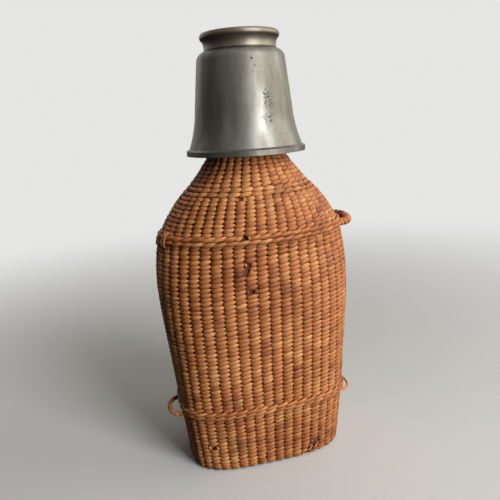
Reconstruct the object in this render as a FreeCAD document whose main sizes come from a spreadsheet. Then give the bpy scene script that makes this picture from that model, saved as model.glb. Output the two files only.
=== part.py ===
import FreeCAD, Part
import math
import os
import Sketcher
from FreeCAD import Vector

doc = FreeCAD.newDocument("travel_flask")

# Driving sizes in millimetres, counts and plain ratios
# Long side of the flask on X, flat front towards -Y, standing on z = 0

SIZES = [
    # Outline of the wicker: rise from the station below and half length of the oval section
    ("base_half_length", 46.8, "half length at the resting face"),
    ("flank_rise", 60.0, "height of the flank station"),
    ("flank_half_length", 52.7, "half length at the flank station"),
    ("belly_rise", 48.0, "from the flank up to the widest section"),
    ("belly_half_length", 56.8, "half length of the widest section"),
    ("crown_rise", 22.0, "from the belly up to where the sides turn in"),
    ("crown_half_length", 55.6, "half length where the sides turn in"),
    ("shoulder_rise", 13.0, "from the crown up to the shoulder station"),
    ("shoulder_half_length", 51.6, "half length at the shoulder station"),
    ("slope_rise", 14.0, "from the shoulder up to the slope station"),
    ("slope_half_length", 42.6, "half length at the slope station"),
    ("throat_rise", 13.0, "from the slope up to the throat station"),
    ("throat_half_length", 30.6, "half length at the throat station"),
    ("collar_rise", 11.0, "from the throat up to the collar station"),
    ("collar_half_length", 22.4, "half length at the collar station"),
    ("neck_rise", 8.0, "from the collar up to the upright neck"),
    ("neck_radius", 19.0, "outer radius of the wicker round the neck"),
    ("neck_length", 18.0, "length of the wicker round the upright neck"),
    ("flatness", 0.58, "depth of the oval section over its length"),
    ("base_squareness", 3.1, "exponent of the oval section near the base"),
    ("square_height", 40.0, "height up to which the base exponent holds"),
    ("foot_round_height", 3.6, "height of the rounded bottom edge"),
    ("foot_round_inset", 2.2, "inset of the rounded bottom edge"),
    # Wicker wall
    ("cover_wall", 2.8, "wall from the rib crests to the inside"),
    ("cover_floor", 2.4, "thickness of the woven floor"),
    ("rib_count", 46, "upright ribs round the body"),
    ("rib_depth", 1.1, "depth of the furrows between ribs"),
    ("crest_share", 0.42, "share of a rib's pitch that its crest takes"),
    ("merge_rise", 6.5, "from the slope station up to the row where ribs run together"),
    ("merge_step", 1.3, "how far the ribs above that row start inside it"),
    ("throat_rib_count", 34, "ribs above that row"),
    ("body_ring_step", 14.0, "most height between outline rings on the body"),
    ("shoulder_ring_step", 7.0, "most height between outline rings on the shoulder"),
    # Waled bands, each of two rope rows in a groove of the wall
    ("upper_band_rise", 9.8, "from the crown up to the middle of the upper band"),
    ("upper_rope_radius", 1.45, "radius of one rope row of the upper band"),
    ("lower_band_height", 37.9, "middle of the lower band"),
    ("lower_rope_radius", 1.2, "radius of one rope row of the lower band"),
    ("band_groove_depth", 1.9, "how far a band lies in the wall"),
    ("groove_slope", 0.2, "height of the groove's sloping edges"),
    ("row_clearance", 0.06, "gap between rope rows and to their groove"),
    ("rope_strokes", 48, "slanted strokes round one rope row"),
    # Plaited border that closes the weave under the cup
    ("border_drop", 4.0, "middle of the border below the wicker's top edge"),
    ("border_strokes", 20, "strokes round the border"),
    ("border_gap", 0.1, "gap between border and wicker neck"),
    # Strap loops on the narrow ends
    ("loop_clearance", 0.12, "gap round a loop where it enters the wall and meets the band"),
    ("loop_core", 0.7, "radius of the bare ends that enter the wall"),
    ("loop_anchor", 1.5, "depth of these ends in the wall"),
    ("loop_reach", 0.3, "straight run of the wrapped legs outside the band"),
    ("right_upper_half_width", 8.0, "half width of the upper right loop"),
    ("right_upper_flatness", 0.78, "how far it reaches out over its half width"),
    ("right_upper_rope", 2.4, "its thickness radius"),
    ("right_upper_shift", -1.0, "its place along Y"),
    ("right_upper_lift", 0.0, "its height above the middle of the upper band"),
    ("right_upper_tilt", 8.5, "its rise towards the back in degrees"),
    ("right_lower_half_width", 8.0, "half width of the lower right loop"),
    ("right_lower_flatness", 0.67, "how far it reaches out over its half width"),
    ("right_lower_rope", 0.8, "its thickness radius"),
    ("right_lower_shift", -8.0, "its place along Y"),
    ("right_lower_lift", -3.3, "its height above the middle of the lower band"),
    ("right_lower_tilt", 5.0, "its rise towards the back in degrees"),
    ("left_lower_half_width", 7.0, "half width of the lower left loop"),
    ("left_lower_flatness", 0.82, "how far it reaches out over its half width"),
    ("left_lower_rope", 1.35, "its thickness radius"),
    ("left_lower_shift", -4.5, "its place along Y"),
    ("left_lower_lift", -0.8, "its height above the middle of the lower band"),
    ("left_lower_tilt", 14.0, "its rise towards the back in degrees"),
    # Two lashing strands left where the upper left loop is lost
    ("lashing_width", 2.4, "width of a lashing strand"),
    ("lashing_thickness", 0.9, "thickness of a lashing strand"),
    ("lashing_shift", -7.0, "middle of the pair along Y"),
    ("lashing_pitch", 6.4, "distance between the two strands"),
    # Breaks in the weave of the front: height, place on X, width and height of each gap
    ("corner_break_height", 5.5, "broken strands at the lower right corner"),
    ("corner_break_place", 24.0, "its place on X"),
    ("corner_break_width", 5.6, "its width"),
    ("corner_break_tall", 6.0, "its height from edge to edge"),
    ("foot_break_height", 15.5, "small hole at the lower left"),
    ("foot_break_place", -36.0, "its place on X"),
    ("foot_break_width", 2.6, "its width"),
    ("foot_break_tall", 1.6, "its height from edge to edge"),
    ("gash_height", 123.5, "upright gash below the upper band"),
    ("gash_place", -10.8, "its place on X"),
    ("gash_width", 1.4, "its width"),
    ("gash_tall", 5.6, "its height from edge to edge"),
    ("patch_height", 110.0, "dark patch below the gash"),
    ("patch_place", -9.8, "its place on X"),
    ("patch_width", 1.8, "its width"),
    ("patch_tall", 2.4, "its height from edge to edge"),
    ("wormhole_height", 160.5, "hole on the shoulder"),
    ("wormhole_place", -12.2, "its place on X"),
    ("wormhole_width", 1.4, "its width"),
    ("wormhole_tall", 1.4, "its height from edge to edge"),
    # Glass bottle
    ("glass_wall", 2.6, "thickness of the blown wall"),
    ("glass_base", 5.0, "thickness of the glass base"),
    ("glass_clearance", 0.15, "gap between glass and wicker"),
    ("glass_round_height", 6.0, "height of the rounded bottom edge of the glass"),
    ("glass_round_inset", 4.0, "inset of the rounded bottom edge of the glass"),
    ("mouth_rise", 6.0, "from the wicker's top edge up to the mouth"),
    ("bore_length", 23.0, "length of the conical bore"),
    ("bore_radius", 10.4, "bore at its lower end"),
    ("bore_taper", 0.8, "growth of the radius from there to the mouth"),
    ("lip_height", 5.0, "height of the ring of glass round the mouth"),
    ("lip_overhang", 1.55, "how far that ring stands out from the neck"),
    ("lip_slope", 0.8, "height of the slope under that ring"),
    # Cork
    ("cork_depth", 12.0, "length of cork inside the mouth"),
    ("cork_stub", 2.8, "length of cork above the mouth"),
    ("cork_clearance", 0.06, "radial gap between cork and bore"),
    ("cork_chamfer", 0.8, "broken top edge of the cork"),
    # Pewter cup, upside down over the neck; heights from its rim
    ("cup_overlap", 24.6, "from the wicker's top edge down to the cup's rim"),
    ("cup_rim_radius", 33.0, "outer radius of the rim"),
    ("cup_rim_wall", 1.5, "thickness of the wall at the rim"),
    ("cup_band_height", 2.7, "height of the band round the rim"),
    ("cup_step_height", 0.9, "height of the step above the band"),
    ("cup_step_depth", 1.7, "how far the wall lies inside the band"),
    ("cup_waist_height", 25.0, "height where the flare ends"),
    ("cup_waist_radius", 26.6, "outer radius where the flare ends"),
    ("cup_flare_bend", 72.0, "radius of the flare's curve"),
    ("cup_height", 53.6, "height of the bowl"),
    ("cup_crown_radius", 23.9, "outer radius where the shoulder starts"),
    ("cup_shoulder_drop", 5.0, "height of the rounded shoulder"),
    ("cup_shoulder_inset", 4.3, "width of the rounded shoulder"),
    ("cup_shoulder_bend", 5.4, "radius of the shoulder's curve"),
    ("cup_wall", 1.5, "thickness of the pewter wall"),
    ("cup_floor", 2.0, "thickness of the cup's floor"),
    ("cup_seat_clearance", 0.3, "gap between the border and the cup"),
    # Foot ring soldered to the bowl
    ("foot_neck_height", 5.4, "height of the bead's lower edge above the joint"),
    ("foot_flare", 0.9, "growth of the radius from the joint to the bead"),
    ("foot_sweep_bend", 6.5, "radius of the hollow side of the foot"),
    ("foot_bead_height", 3.5, "height of the bead"),
    ("foot_bead_bend", 2.2, "radius of the bead"),
    ("foot_wall", 2.0, "thickness of the foot ring at the joint"),
    ("foot_mouth_wall", 1.6, "thickness of the foot ring at its open end"),
]

sheet = doc.addObject("Spreadsheet::Sheet", "Sizes")
for row, (alias, number, meaning) in enumerate(SIZES, start=1):
    sheet.set(f"A{row}", alias)
    sheet.set(f"B{row}", str(number))
    sheet.setAlias(f"B{row}", alias)
    sheet.set(f"C{row}", meaning)
doc.recompute()


def size(alias):
    return float(sheet.get(alias))


def total(*terms):
    """Expression and value of a signed sum of sizes, such as total("cup_height", "-cup_floor")."""
    text = ""
    value = 0.0
    for term in terms:
        name = term.lstrip("-")
        sign = "-" if term.startswith("-") else "+"
        text += f" {sign} Sizes.{name}"
        value += float(sign + "1") * size(name)
    return text.strip(" +"), value


# Outline of the flask: a smooth half length through the stations, and an oval section at each height

STATIONS = ["flank", "belly", "crown", "shoulder", "slope", "throat", "collar", "neck"]


def rises_to(name):
    """Names of the sizes that add up to the height of a station."""
    return [station + "_rise" for station in STATIONS[: STATIONS.index(name) + 1]]


def height_of(name):
    return total(*rises_to(name))[1]


CROWN = height_of("crown")
COLLAR = height_of("collar")
NECK = height_of("neck")
COVER_TOP = NECK + size("neck_length")
MERGE = height_of("slope") + size("merge_rise")
MOUTH = COVER_TOP + size("mouth_rise")
CUP_RIM_TERMS = rises_to("neck") + ["neck_length", "-cup_overlap"]
CUP_RIM = total(*CUP_RIM_TERMS)[1]

OUTLINE = [(0.0, size("base_half_length"))]
OUTLINE += [(height_of(name), size(name + "_half_length")) for name in STATIONS[:-1]]
OUTLINE += [(NECK, size("neck_radius")), (COVER_TOP, size("neck_radius"))]


def outline_slope(place):
    """Slope of the outline at one station, level at the upright neck."""
    if place >= len(OUTLINE) - 2:
        return 0.0
    low = OUTLINE[max(place - 1, 0)]
    high = OUTLINE[place + 1]
    return (high[1] - low[1]) / (high[0] - low[0])


def half_length(height):
    """Half length of the section, by a cubic between neighbouring stations."""
    place = 0
    while place < len(OUTLINE) - 2 and height > OUTLINE[place + 1][0]:
        place += 1
    (z0, a0), (z1, a1) = OUTLINE[place], OUTLINE[place + 1]
    run = z1 - z0
    t = min(max((height - z0) / run, 0.0), 1.0)
    value = a0 * (1 + 2 * t) * (1 - t) ** 2 + a1 * t * t * (3 - 2 * t)
    value += run * outline_slope(place) * t * (1 - t) ** 2
    value -= run * outline_slope(place + 1) * t * t * (1 - t)
    return value


def share_between(low, high, height):
    """How far height lies from low to high, from 0 to 1."""
    return min(max((height - low) / (high - low), 0.0), 1.0)


ROUNDING_POWER = 1.2


def section(height, inset):
    """Half length, half depth and exponent of the oval at one height, moved inwards by inset."""
    growth = share_between(CROWN, COLLAR, height) ** ROUNDING_POWER
    ratio = size("flatness") + (1 - size("flatness")) * growth
    ease = share_between(size("square_height"), CROWN, height)
    exponent = size("base_squareness") + (2.0 - size("base_squareness")) * ease
    length = half_length(height)
    return length - inset, length * ratio - inset, exponent


def round_edge(height, edge_height, edge_inset):
    """Inset of a bottom edge that is rounded as a quarter ellipse."""
    if height >= edge_height:
        return 0.0
    return edge_inset * (1 - math.sqrt(1 - (1 - height / edge_height) ** 2))


def oval_point(shape, angle, height):
    length, depth, exponent = shape
    c = math.cos(angle)
    s = math.sin(angle)
    x = math.copysign(abs(c) ** (2 / exponent), c) * length
    y = math.copysign(abs(s) ** (2 / exponent), s) * depth
    return Vector(x, y, height)


PERIMETER_STEPS = 720


def even_points(shape, height, shares):
    """Points of the oval at given shares of its perimeter, from the front's middle round by +X."""
    turns = [k / PERIMETER_STEPS for k in range(PERIMETER_STEPS + 1)]
    points = [oval_point(shape, math.pi * (2 * turn - 0.5), height) for turn in turns]
    lengths = [0.0]
    for before, after in zip(points, points[1:]):
        lengths.append(lengths[-1] + before.distanceToPoint(after))
    found = []
    k = 0
    for share in shares:
        goal = share * lengths[-1]
        while lengths[k + 1] < goal:
            k += 1
        part = (goal - lengths[k]) / (lengths[k + 1] - lengths[k])
        found.append(points[k] + (points[k + 1] - points[k]) * part)
    return found


def outward(points):
    """Level unit normals of a closed ring of points that runs anticlockwise."""
    normals = []
    for k, point in enumerate(points):
        along = points[(k + 1) % len(points)] - points[k - 1]
        normals.append(Vector(along.y, -along.x, 0).normalize())
    return normals


# Wicker wall: ribs, a groove for each band, and a smooth inside that the glass fits
# The floor of a groove keeps a trace of the furrows
# A rounded bottom edge has rings at four shares of its height

GROOVE_RIPPLE = 0.02
EDGE_SHARES = (0.0, 0.12, 0.42, 1.0)
SMOOTH_RING_POINTS = 16


def ribbed_ring(height, ribs, depth, inset):
    """Polygon of the wall at one height: each rib has a furrow and two crest corners."""
    crest = size("crest_share")
    shares = []
    insets = []
    for rib in range(ribs):
        shares += [rib / ribs, (rib + (1 - crest) / 2) / ribs, (rib + (1 + crest) / 2) / ribs]
        insets += [inset + depth, inset, inset]
    points = even_points(section(height, 0.0), height, shares)
    moved = [p - n * gap for p, n, gap in zip(points, outward(points), insets)]
    return Part.makePolygon(moved + [moved[0]])


def spaced(low, high, step):
    """Heights from low to high, evenly spaced and no further apart than step."""
    count = max(1, math.ceil((high - low) / step))
    return [low + (high - low) * k / count for k in range(count + 1)]


BAND_HEIGHTS = {"lower": size("lower_band_height"), "upper": CROWN + size("upper_band_rise")}


def groove_edges(band):
    """Lower and upper edge of a band's groove."""
    clearance = size("row_clearance")
    half = 2 * size(band + "_rope_radius") + clearance / 2 + clearance
    return BAND_HEIGHTS[band] - half, BAND_HEIGHTS[band] + half


def band_proud(band):
    """How far the rope rows of a band stand out of the outline."""
    return 2 * size(band + "_rope_radius") - size("band_groove_depth") + size("row_clearance")


def wall_levels():
    """Heights and insets of the ribbed rings from the floor to the row where ribs run together."""
    edge = size("foot_round_height")
    levels = [(share * edge, round_edge(share * edge, edge, size("foot_round_inset"))) for share in EDGE_SHARES]
    below = edge
    for band in ("lower", "upper"):
        low, high = groove_edges(band)
        slope = size("groove_slope")
        depth = size("band_groove_depth")
        levels += [(height, 0.0) for height in spaced(below, low - slope, size("body_ring_step"))[1:]]
        levels += [(low, depth), (high, depth), (high + slope, 0.0)]
        below = high + slope
    levels += [(height, 0.0) for height in spaced(below, MERGE, size("shoulder_ring_step"))[1:]]
    return levels


def ribbed_rings(levels, ribs):
    """Rings of the ribbed wall; the furrows run out where a band's groove is deeper than they are."""
    rings = []
    for height, inset in levels:
        groove = inset >= size("band_groove_depth") and height > size("foot_round_height")
        rings.append(ribbed_ring(height, ribs, GROOVE_RIPPLE if groove else size("rib_depth"), inset))
    return rings


def smooth_ring(shape, height):
    """Closed smooth oval through evenly spaced points."""
    shares = [k / SMOOTH_RING_POINTS for k in range(SMOOTH_RING_POINTS)]
    points = even_points(shape, height, shares)
    curve = Part.BSplineCurve()
    curve.interpolate(points, PeriodicFlag=True)
    return Part.Wire(curve.toShape())


def smooth_rings(levels):
    """Smooth ovals, each given as height and inset from the outline."""
    return [smooth_ring(section(height, inset), height) for height, inset in levels]


def strip_faces(rings):
    return Part.makeLoft(rings, False, True).Faces


def level_ring(outer, inner):
    """Flat ring of material between two closed outlines at one height."""
    return Part.makeFace([outer, inner], "Part::FaceMakerBullseye")


def vessel(outer_parts, inner_rings):
    """Open-topped hollow solid. Each outer part is a run of rings, and a flat step joins it to the next."""
    faces = [Part.Face(outer_parts[0][0]), Part.Face(inner_rings[0])]
    for rings in outer_parts:
        faces += strip_faces(rings)
    for below, above in zip(outer_parts, outer_parts[1:]):
        faces.append(level_ring(below[-1], above[0]))
    faces += strip_faces(inner_rings)
    faces.append(level_ring(outer_parts[-1][-1], inner_rings[-1]))
    shell = Part.Shell(faces)
    shell.sewShape()
    solid = Part.Solid(shell)
    return solid if solid.Volume > 0 else solid.reversed()


def inner_levels(floor, wall, top):
    """Rounded bottom edge above floor, then the outline up to top, all inset by wall."""
    edge = size("glass_round_height")
    inset = size("glass_round_inset")
    levels = [(floor + share * edge, wall + round_edge(share * edge, edge, inset)) for share in EDGE_SHARES]
    levels += [(height, wall) for height in spaced(floor + edge, CROWN, size("body_ring_step"))[1:]]
    levels += [(height, wall) for height in spaced(CROWN, top, size("shoulder_ring_step"))[1:]]
    return levels


# Strap loops: each is a half oval of wrapped cane whose two bare ends go into the wall

END_SEARCH_STEPS = 360


def end_ring(height, end):
    """Points of the wall at one height, their normals, and which of them lie on one narrow end (1 or -1)."""
    ring = even_points(section(height, 0.0), height, [k / END_SEARCH_STEPS for k in range(END_SEARCH_STEPS)])
    side = [k for k, point in enumerate(ring) if point.x * end > 0]
    return ring, outward(ring), side


def strap_loop(label, prefix, end):
    """Place of a loop that stands out of a narrow end (1 or -1), higher at the back than at the front."""
    band = prefix.split("_")[1]
    height = BAND_HEIGHTS[band] + size(prefix + "_lift")
    bend = size(prefix + "_half_width")
    rope = size(prefix + "_rope")
    tilt = math.radians(size(prefix + "_tilt"))
    ring, normals, side = end_ring(height, end)
    middle = min(side, key=lambda k: abs(ring[k].y - size(prefix + "_shift")))
    origin = ring[middle]
    direction = normals[middle]
    level = Vector(-direction.y, direction.x, 0)

    def wall_distance(offset, rise):
        """How far the wall lies along the loop's direction from its middle, beside and above that middle."""
        points, _, places = end_ring(height + rise, end)
        best = min(places, key=lambda k: abs((points[k] - origin).dot(level) - offset))
        return (points[best] - origin).dot(direction)

    legs = []
    for sign in (1, -1):
        rise = sign * end * bend * math.sin(tilt)
        wall = max(wall_distance(sign * (bend - rope), rise + edge) for edge in (-rope, rope))
        seat = wall + band_proud(band) + size("loop_clearance")
        legs.append((sign, wall_distance(sign * bend, rise) - size("loop_anchor"), seat))
    return {
        "label": label,
        "middle": origin,
        "direction": direction,
        "side": (level * math.cos(tilt) + Vector(0, 0, end * math.sin(tilt))) * bend,
        "reach": bend * size(prefix + "_flatness"),
        "rope": rope,
        "legs": legs,
        "start": max(seat for sign, anchor, seat in legs) + size("loop_reach"),
    }


def loop_ends(plan, grow):
    """The two bare ends, thicker all round by grow for the sockets that they leave in the wall."""
    out = plan["direction"]
    ends = []
    for sign, anchor, seat in plan["legs"]:
        root = plan["middle"] + plan["side"] * sign + out * (anchor - grow)
        ends.append(Part.makeCylinder(size("loop_core") + grow, plan["start"] - anchor + grow, root, out))
    return ends


def loop_shape(plan):
    """Solid of a loop: bare ends, two wrapped legs and the half oval between them."""
    out = plan["direction"]
    side = plan["side"]
    centre = plan["middle"] + out * plan["start"]
    solids = loop_ends(plan, 0.0)
    for sign, anchor, seat in plan["legs"]:
        foot = plan["middle"] + side * sign + out * seat
        solids.append(Part.makeCylinder(plan["rope"], plan["start"] - seat, foot, out))
    oval = Part.Ellipse(centre + side, centre + out * plan["reach"], centre)
    path = Part.Wire(Part.ArcOfEllipse(oval, 0, math.pi).toShape())
    profile = Part.Wire(Part.makeCircle(plan["rope"], centre + side, out))
    solids.append(path.makePipeShell([profile], True, True))
    return solids[0].multiFuse(solids[1:]).removeSplitter()


LOOPS = [
    strap_loop("upper_right_loop", "right_upper", 1),
    strap_loop("lower_right_loop", "right_lower", 1),
    strap_loop("lower_left_loop", "left_lower", -1),
]
SOCKETS = [end for plan in LOOPS for end in loop_ends(plan, size("loop_clearance"))]


def add_shape(label, shape):
    feature = doc.addObject("Part::Feature", label)
    feature.Label = label
    feature.Shape = shape
    return feature


# Woven cover with the sockets of the loops and the breaks in its front

neck_marks = spaced(MERGE + size("merge_step"), NECK, size("shoulder_ring_step"))
throat_levels = [(MERGE, size("merge_step"))] + [(height, 0.0) for height in neck_marks + [COVER_TOP]]
body_rings = ribbed_rings(wall_levels(), int(size("rib_count")))
throat_rings = ribbed_rings(throat_levels, int(size("throat_rib_count")))
hollow_levels = inner_levels(size("cover_floor"), size("cover_wall"), NECK) + [(COVER_TOP, size("cover_wall"))]
cover = vessel([body_rings, throat_rings], smooth_rings(hollow_levels))


def break_gap(name):
    """Block that cuts one break through the front wall."""
    depth = size("belly_half_length")
    width = size(name + "_width")
    tall = size(name + "_tall")
    corner = Vector(size(name + "_place") - width / 2, -depth, size(name + "_height") - tall / 2)
    return Part.makeBox(width, depth, tall, corner)


gaps = [break_gap(name) for name in ("corner_break", "foot_break", "gash", "patch", "wormhole")]
add_shape("woven_cover", cover.cut(gaps + SOCKETS))


# Rope rows: twisted strands as a ring of flat facets

STRANDS = 3
STROKE_STATIONS = 3


def twisted_ring(points, normals, radius):
    """Closed rope: a polygon with one corner for each strand, turned by one strand with each stroke."""
    count = len(points)
    rings = []
    for k in range(count):
        turn = 2 * math.pi * k / (STRANDS * STROKE_STATIONS)
        ring = []
        for strand in range(STRANDS):
            angle = turn + 2 * math.pi * strand / STRANDS
            sideways = normals[k] * (radius * math.cos(angle))
            ring.append(points[k] + sideways + Vector(0, 0, radius * math.sin(angle)))
        rings.append(ring)
    faces = []
    for k in range(count):
        here = rings[k]
        there = rings[(k + 1) % count]
        shift = count // STROKE_STATIONS if k == count - 1 else 0
        for strand in range(STRANDS):
            a = here[strand]
            b = here[(strand + 1) % STRANDS]
            c = there[(strand + 1 + shift) % STRANDS]
            d = there[(strand + shift) % STRANDS]
            faces.append(Part.Face(Part.makePolygon([a, b, c, a])))
            faces.append(Part.Face(Part.makePolygon([a, c, d, a])))
    solid = Part.Solid(Part.Shell(faces))
    return solid if solid.Volume > 0 else solid.reversed()


def rope_row(height, inset, radius, strokes):
    """One rope row round the flask, its middle line inset from the outline."""
    count = int(strokes) * STROKE_STATIONS
    ring = even_points(section(height, 0.0), height, [k / count for k in range(count)])
    normals = outward(ring)
    middle = [p - n * inset for p, n in zip(ring, normals)]
    return twisted_ring(middle, normals, radius)


for band, band_height in BAND_HEIGHTS.items():
    rope = size(band + "_rope_radius")
    row_offset = rope + size("row_clearance") / 2
    row_inset = size("band_groove_depth") - rope - size("row_clearance")
    for row_name, sign in (("top", 1), ("bottom", -1)):
        row = rope_row(band_height + sign * row_offset, row_inset, rope, size("rope_strokes"))
        for socket in SOCKETS:
            if socket.BoundBox.intersect(row.BoundBox):
                row = row.cut(socket)
        add_shape(f"{band}_band_{row_name}_row", row)


for plan in LOOPS:
    add_shape(plan["label"], loop_shape(plan))


# Border: a thick plait on the outside of the wicker neck, on which the cup sits


def cup_inner_radius(height):
    """Radius of the cup's inside at a height on its flare: the chord less the curve's sag."""
    low = size("cup_rim_radius") - size("cup_rim_wall")
    high = size("cup_waist_radius") - size("cup_wall")
    share = (height - CUP_RIM) / size("cup_waist_height")
    chord = math.hypot(low - high, size("cup_waist_height"))
    bend = size("cup_flare_bend")
    sag = bend - math.sqrt(bend**2 - (chord / 2) ** 2)
    return low + (high - low) * share - sag * 4 * share * (1 - share)


border_height = COVER_TOP - size("border_drop")
border_inner = size("neck_radius") + size("border_gap")
border_outer = cup_inner_radius(border_height) - size("cup_seat_clearance")
border_radius = (border_outer - border_inner) / 2
border_circle = (border_inner + border_radius, border_inner + border_radius, 2.0)
border_count = int(size("border_strokes")) * STROKE_STATIONS
border_points = even_points(border_circle, border_height, [k / border_count for k in range(border_count)])
add_shape("neck_border", twisted_ring(border_points, outward(border_points), border_radius))


# Lashing: two flat strands of split cane over the upper band where the upper left loop is lost


def lashing_strand(shift):
    """Strand that comes out of the weave under the band, lies over both rows and goes in again above them."""
    thickness = size("lashing_thickness")
    width = size("lashing_width")
    low, high = groove_edges("upper")
    margin = size("row_clearance") + thickness / 2
    ends = []
    for height in (low - margin, high + margin):
        ring, normals, side = end_ring(height, -1)
        place = min(side, key=lambda k: abs(ring[k].y - shift))
        ends.append(ring[place])
        out = normals[place]
    clearance = size("row_clearance") + size("loop_clearance")
    lying = band_proud("upper") + clearance + thickness / 2
    corners = [ends[0] + out * clearance, ends[0] + out * lying]
    corners += [ends[1] + out * lying, ends[1] + out * clearance]
    along = (ends[1] - ends[0]).normalize()
    across = along.cross(out).normalize() * (width / 2)
    edge = across.cross(out).normalize() * (thickness / 2)
    section_corners = [corners[0] + across + edge, corners[0] + across - edge]
    section_corners += [corners[0] - across - edge, corners[0] - across + edge]
    profile = Part.makePolygon(section_corners + section_corners[:1])
    return Part.makePolygon(corners).makePipeShell([profile], True, False, 1)


strands = [lashing_strand(size("lashing_shift") + sign * size("lashing_pitch") / 2) for sign in (1, -1)]
add_shape("upper_left_lashing", Part.makeCompound(strands))


# Glass bottle: blown oval body, round neck with a laid-on lip, conical bore

outer_inset = size("cover_wall") + size("glass_clearance")
lip_bottom = MOUTH - size("lip_height")
lip_inset = outer_inset - size("lip_overhang")
glass_levels = inner_levels(size("cover_floor"), outer_inset, NECK)
glass_levels += [(lip_bottom - size("lip_slope"), outer_inset), (lip_bottom, lip_inset), (MOUTH, lip_inset)]
BORE_BOTTOM = MOUTH - size("bore_length")
cavity_floor = size("cover_floor") + size("glass_base")
cavity_levels = inner_levels(cavity_floor, outer_inset + size("glass_wall"), COLLAR)
cavity_levels += [(BORE_BOTTOM, half_length(BORE_BOTTOM) - size("bore_radius"))]
cavity_levels += [(MOUTH, size("neck_radius") - size("bore_radius") - size("bore_taper"))]
add_shape("glass_bottle", vessel([smooth_rings(glass_levels)], smooth_rings(cavity_levels)))


# Pewter cup and its foot: a closed half section on the XZ plane, turned about the upright axis


def origin_plane(body, role):
    for feature in body.Origin.OriginFeatures:
        if feature.Role == role:
            return feature
    raise ValueError(role)


def arc_middle(start, end, radius, side):
    """Point halfway along an arc from start to end that bulges to the left (1) or right (-1)."""
    chord = end - start
    sag = radius - math.sqrt(radius**2 - (chord.Length / 2) ** 2)
    normal = Vector(-chord.y, chord.x, 0).normalize()
    return (start + end) * 0.5 + normal * (side * sag)


def turned_body(label, corners, base_height):
    """Turned solid. Each corner is radius terms, height terms and, where an arc follows, its size and side."""
    body = doc.addObject("PartDesign::Body", label)
    body.Label = label
    sketch = body.newObject("Sketcher::SketchObject", label + "_section")
    sketch.AttachmentSupport = [(origin_plane(body, "XZ_Plane"), "")]
    sketch.MapMode = "FlatFace"
    places = []
    for radius_terms, height_terms, bend in corners:
        places.append((total(*radius_terms), total(*height_terms)))
    ends = []
    for k, (radius_terms, height_terms, bend) in enumerate(corners):
        here = Vector(places[k][0][1], places[k][1][1], 0)
        following = places[(k + 1) % len(corners)]
        there = Vector(following[0][1], following[1][1], 0)
        if bend:
            bend_size, side = bend
            arc = Part.Arc(here, arc_middle(here, there, size(bend_size), side), there)
            edge = sketch.addGeometry(arc, False)
            first = 1 if sketch.getPoint(edge, 1).distanceToPoint(here) < 1e-6 else 2
            rule = sketch.addConstraint(Sketcher.Constraint("Radius", edge, size(bend_size)))
            sketch.setExpression(f"Constraints[{rule}]", "Sizes." + bend_size)
        else:
            edge = sketch.addGeometry(Part.LineSegment(here, there), False)
            first = 1
        ends.append((edge, first, 3 - first))
    for k, (edge, first, last) in enumerate(ends):
        next_edge, next_first, next_last = ends[(k + 1) % len(ends)]
        sketch.addConstraint(Sketcher.Constraint("Coincident", edge, last, next_edge, next_first))
        for kind, axis, (text, value) in (("DistanceX", -2, places[k][0]), ("DistanceY", -1, places[k][1])):
            if text:
                rule = sketch.addConstraint(Sketcher.Constraint(kind, -1, 1, edge, first, value))
                sketch.setExpression(f"Constraints[{rule}]", text)
            else:
                sketch.addConstraint(Sketcher.Constraint("PointOnObject", edge, first, axis))
    turn = body.newObject("PartDesign::Revolution", label + "_turning")
    turn.Profile = sketch
    turn.ReferenceAxis = (sketch, ["V_Axis"])
    turn.Angle = 360
    body.Tip = turn
    body.setExpression("Placement.Base.z", total(*base_height)[0])
    return body


AXIS = ()
BASE = ()
FLOOR_INSIDE = ("cup_height", "-cup_floor")
cup_sections = [
    (AXIS, FLOOR_INSIDE, None),
    (("cup_crown_radius", "-cup_wall", "-cup_shoulder_inset"), FLOOR_INSIDE, ("cup_shoulder_bend", 1)),
    (("cup_crown_radius", "-cup_wall"), FLOOR_INSIDE + ("-cup_shoulder_drop",), None),
    (("cup_waist_radius", "-cup_wall"), ("cup_waist_height",), ("cup_flare_bend", -1)),
    (("cup_rim_radius", "-cup_rim_wall"), BASE, None),
    (("cup_rim_radius",), BASE, None),
    (("cup_rim_radius",), ("cup_band_height",), None),
    (("cup_rim_radius", "-cup_step_depth"), ("cup_band_height", "cup_step_height"), ("cup_flare_bend", 1)),
    (("cup_waist_radius",), ("cup_waist_height",), None),
    (("cup_crown_radius",), ("cup_height", "-cup_shoulder_drop"), ("cup_shoulder_bend", -1)),
    (("cup_crown_radius", "-cup_shoulder_inset"), ("cup_height",), None),
    (AXIS, ("cup_height",), None),
]
turned_body("cup_bowl", cup_sections, CUP_RIM_TERMS)

FOOT_ROOT = ("cup_crown_radius", "-cup_shoulder_inset")
FOOT_TOP = ("foot_neck_height", "foot_bead_height")
foot_sections = [
    (FOOT_ROOT + ("-foot_wall",), BASE, None),
    (FOOT_ROOT, BASE, ("foot_sweep_bend", 1)),
    (FOOT_ROOT + ("foot_flare",), ("foot_neck_height",), ("foot_bead_bend", -1)),
    (FOOT_ROOT + ("foot_flare",), FOOT_TOP, None),
    (FOOT_ROOT + ("foot_flare", "-foot_mouth_wall"), FOOT_TOP, None),
]
turned_body("cup_foot", foot_sections, CUP_RIM_TERMS + ["cup_height"])


# Cork: its taper is the bore's

cork_bottom = MOUTH - size("cork_depth")
cork_length = size("cork_depth") + size("cork_stub")
cork_taper = size("bore_taper") / size("bore_length")
cork_low = size("bore_radius") + cork_taper * (cork_bottom - BORE_BOTTOM) - size("cork_clearance")
cork_high = cork_low + cork_taper * cork_length
cork = Part.makeCone(cork_low, cork_high, cork_length, Vector(0, 0, cork_bottom))
top_edge = max((edge for edge in cork.Edges), key=lambda edge: edge.BoundBox.ZMin)
cork = cork.makeChamfer(size("cork_chamfer"), [top_edge])
add_shape("cork_stopper", cork)

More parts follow.
